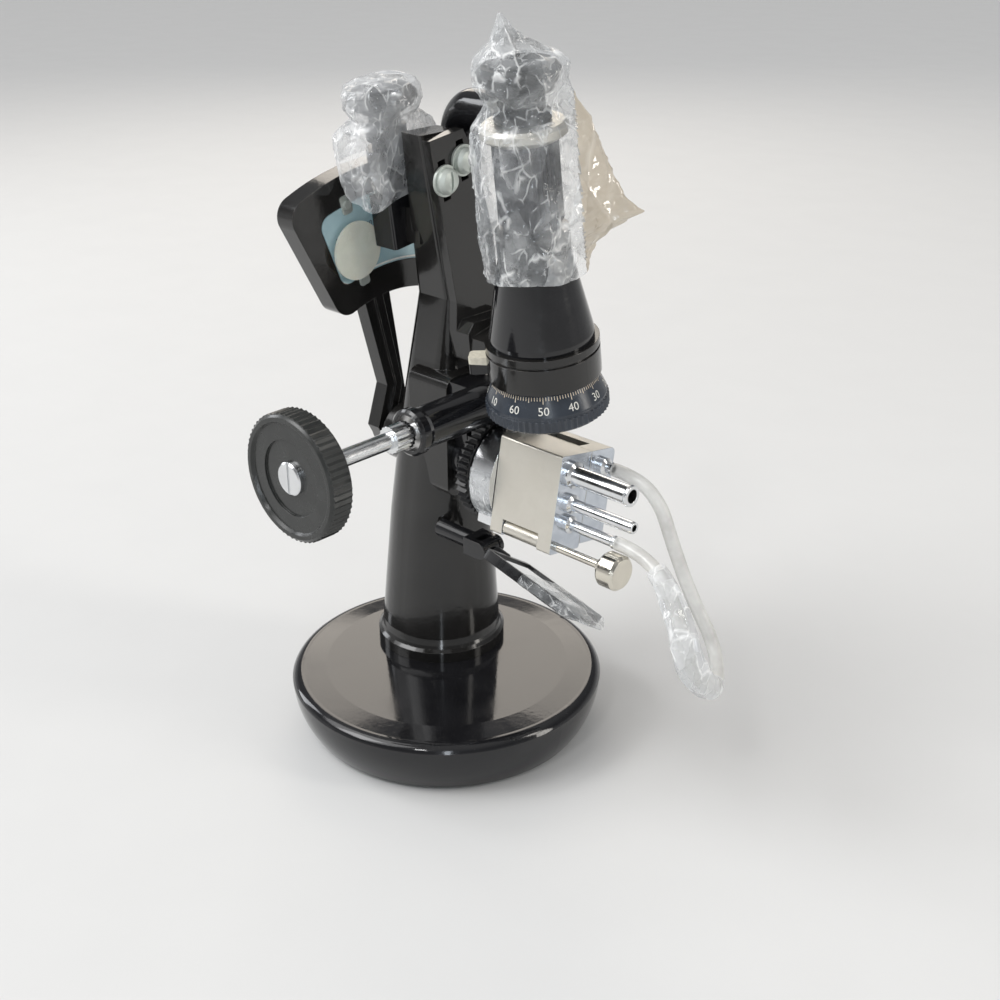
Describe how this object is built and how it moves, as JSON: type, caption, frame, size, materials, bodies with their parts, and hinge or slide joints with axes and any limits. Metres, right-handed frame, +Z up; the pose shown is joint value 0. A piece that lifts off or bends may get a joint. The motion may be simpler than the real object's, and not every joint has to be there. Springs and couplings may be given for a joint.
{
  "type": "abbe refractometer",
  "caption": "Bench Abbe refractometer: round base, column, telescope with compensator drum, reading microscope, worm-driven scale sector, water-jacketed double prism and mirror.",
  "frame": {"origin": "centre of the base's underside, on the bench", "axes": "+Z up; -Y towards the user; +X to the user's right, towards the prisms"},
  "size_m": [0.246, 0.193, 0.3537],
  "materials": {
    "black_enamel": "gloss black stove enamel, polished",
    "black_plastic": "gloss black moulded plastic",
    "brass": "turned brass",
    "bronze": "bronze bush",
    "chrome": "bright chrome plating",
    "eyecup_rubber": "matt black rubber",
    "felt": "dark felt pad",
    "film": "clear crinkled dust film",
    "glass": "clear optical glass",
    "grey_enamel": "semi-gloss dark grey-black enamel over the column casting",
    "hose": "clear soft PVC",
    "mirror": "silvered mirror",
    "opal": "opal cream glass",
    "satin_cream": "satin nickel/cream plated prism jackets",
    "scale_glass": "pale blue scale glass",
    "steel": "turned bright steel",
    "white": "cream white"
  },
  "bodies": {
    "stand": {"base": "black_enamel", "base_pad": "felt", "column": "grey_enamel", "column_bolt": "steel", "telescope_bracket": "grey_enamel", "bracket_screws": "chrome", "worm_housing": "black_enamel", "worm_bushes": "bronze", "axle_bushes": "bronze", "telescope_body": "black_enamel", "telescope_objective": "glass", "telescope_stay": "black_enamel", "index_pointer": "white", "microscope_body": "black_enamel", "microscope_objective": "chrome", "microscope_bracket": "grey_enamel", "opal_disc": "opal", "mirror_stem": "black_enamel"},
    "turning_head": {"cross_axle": "steel", "worm_wheel": "black_enamel", "head_flange": "chrome", "measuring_prism_box": "satin_cream", "measuring_prism": "glass", "upper_nozzle": "chrome", "sector_frame": "grey_enamel", "scale_glass": "scale_glass", "scale_clips": "chrome", "jacket_hose": "hose"},
    "illuminating_half": {"illuminating_prism_box": "satin_cream", "illuminating_prism": "glass", "thermometer_socket": "chrome", "open_nozzle": "chrome", "lower_nozzle": "chrome"},
    "clamp": {"clamp_rod": "chrome", "clamp_knob": "satin_cream"},
    "drive": {"drive_shaft": "chrome", "drive_knob": "grey_enamel", "knob_screw": "chrome"},
    "drum": {"compensator_drum": "grey_enamel", "lower_amici_prism": "glass"},
    "upper_cell": {"upper_amici_cell": "brass", "upper_amici_prism": "glass"},
    "telescope_eye": {"draw_tube": "steel", "reticle": "glass", "eyepiece": "black_plastic", "eyecup": "eyecup_rubber", "eye_lens": "glass", "telescope_bag": "film"},
    "microscope_eye": {"microscope_eyepiece": "black_plastic", "microscope_eyecup": "eyecup_rubber", "microscope_eye_lens": "glass", "microscope_bag": "film"},
    "mirror_swivel": {"mirror_knuckle": "chrome"},
    "mirror": {"mirror_tray": "black_plastic", "mirror_glass": "mirror", "mirror_bag": "film"}
  },
  "joints": [
    {"name": "prism_rotation", "type": "hinge", "parent": "stand", "child": "turning_head", "pos_m": [0, 0.014, 0.1435], "axis": [1, 0, 0], "range_deg": [-14, 14]},
    {"name": "knob_turn", "type": "hinge", "parent": "stand", "child": "drive", "pos_m": [0.0235, 0, 0.1781], "axis": [0, 1, 0], "range_deg": [-169, 169]},
    {"name": "illuminating_hinge", "type": "hinge", "parent": "turning_head", "child": "illuminating_half", "pos_m": [0.05, -0.00628, 0.12636], "axis": [1, 0, 0], "range_deg": [0, 85]},
    {"name": "clamp_turn", "type": "hinge", "parent": "illuminating_half", "child": "clamp", "pos_m": [0.05, -0.00628, 0.12636], "axis": [1, 0, 0], "range_deg": [0, 90]},
    {"name": "drum_turn", "type": "hinge", "parent": "stand", "child": "drum", "pos_m": [0.0605, 0.014, 0.1435], "axis": [0, -0.1392, 0.9903], "continuous": true},
    {"name": "upper_cell_turn", "type": "hinge", "parent": "stand", "child": "upper_cell", "pos_m": [0.0605, 0.014, 0.1435], "axis": [0, -0.1392, 0.9903], "continuous": true},
    {"name": "telescope_focus", "type": "slide", "parent": "stand", "child": "telescope_eye", "axis": [0, -0.1392, 0.9903], "range_m": [-0.003, 0.003]},
    {"name": "microscope_focus", "type": "slide", "parent": "stand", "child": "microscope_eye", "axis": [0, -0.1392, 0.9903], "range_m": [-0.002, 0.002]},
    {"name": "mirror_droop", "type": "hinge", "parent": "stand", "child": "mirror_swivel", "pos_m": [0.03, 0, 0.1065], "axis": [0, 1, 0], "range_deg": [-10, 15]},
    {"name": "mirror_tilt", "type": "hinge", "parent": "mirror_swivel", "child": "mirror", "pos_m": [0.03, 0, 0.1065], "axis": [0.9724, 0, -0.2334], "range_deg": [-8, 50]}
  ],
  "couplings": [
    {"joint": "knob_turn", "follows": "prism_rotation", "ratio": 12},
    {"joint": "upper_cell_turn", "follows": "drum_turn", "ratio": -1}
  ]
}
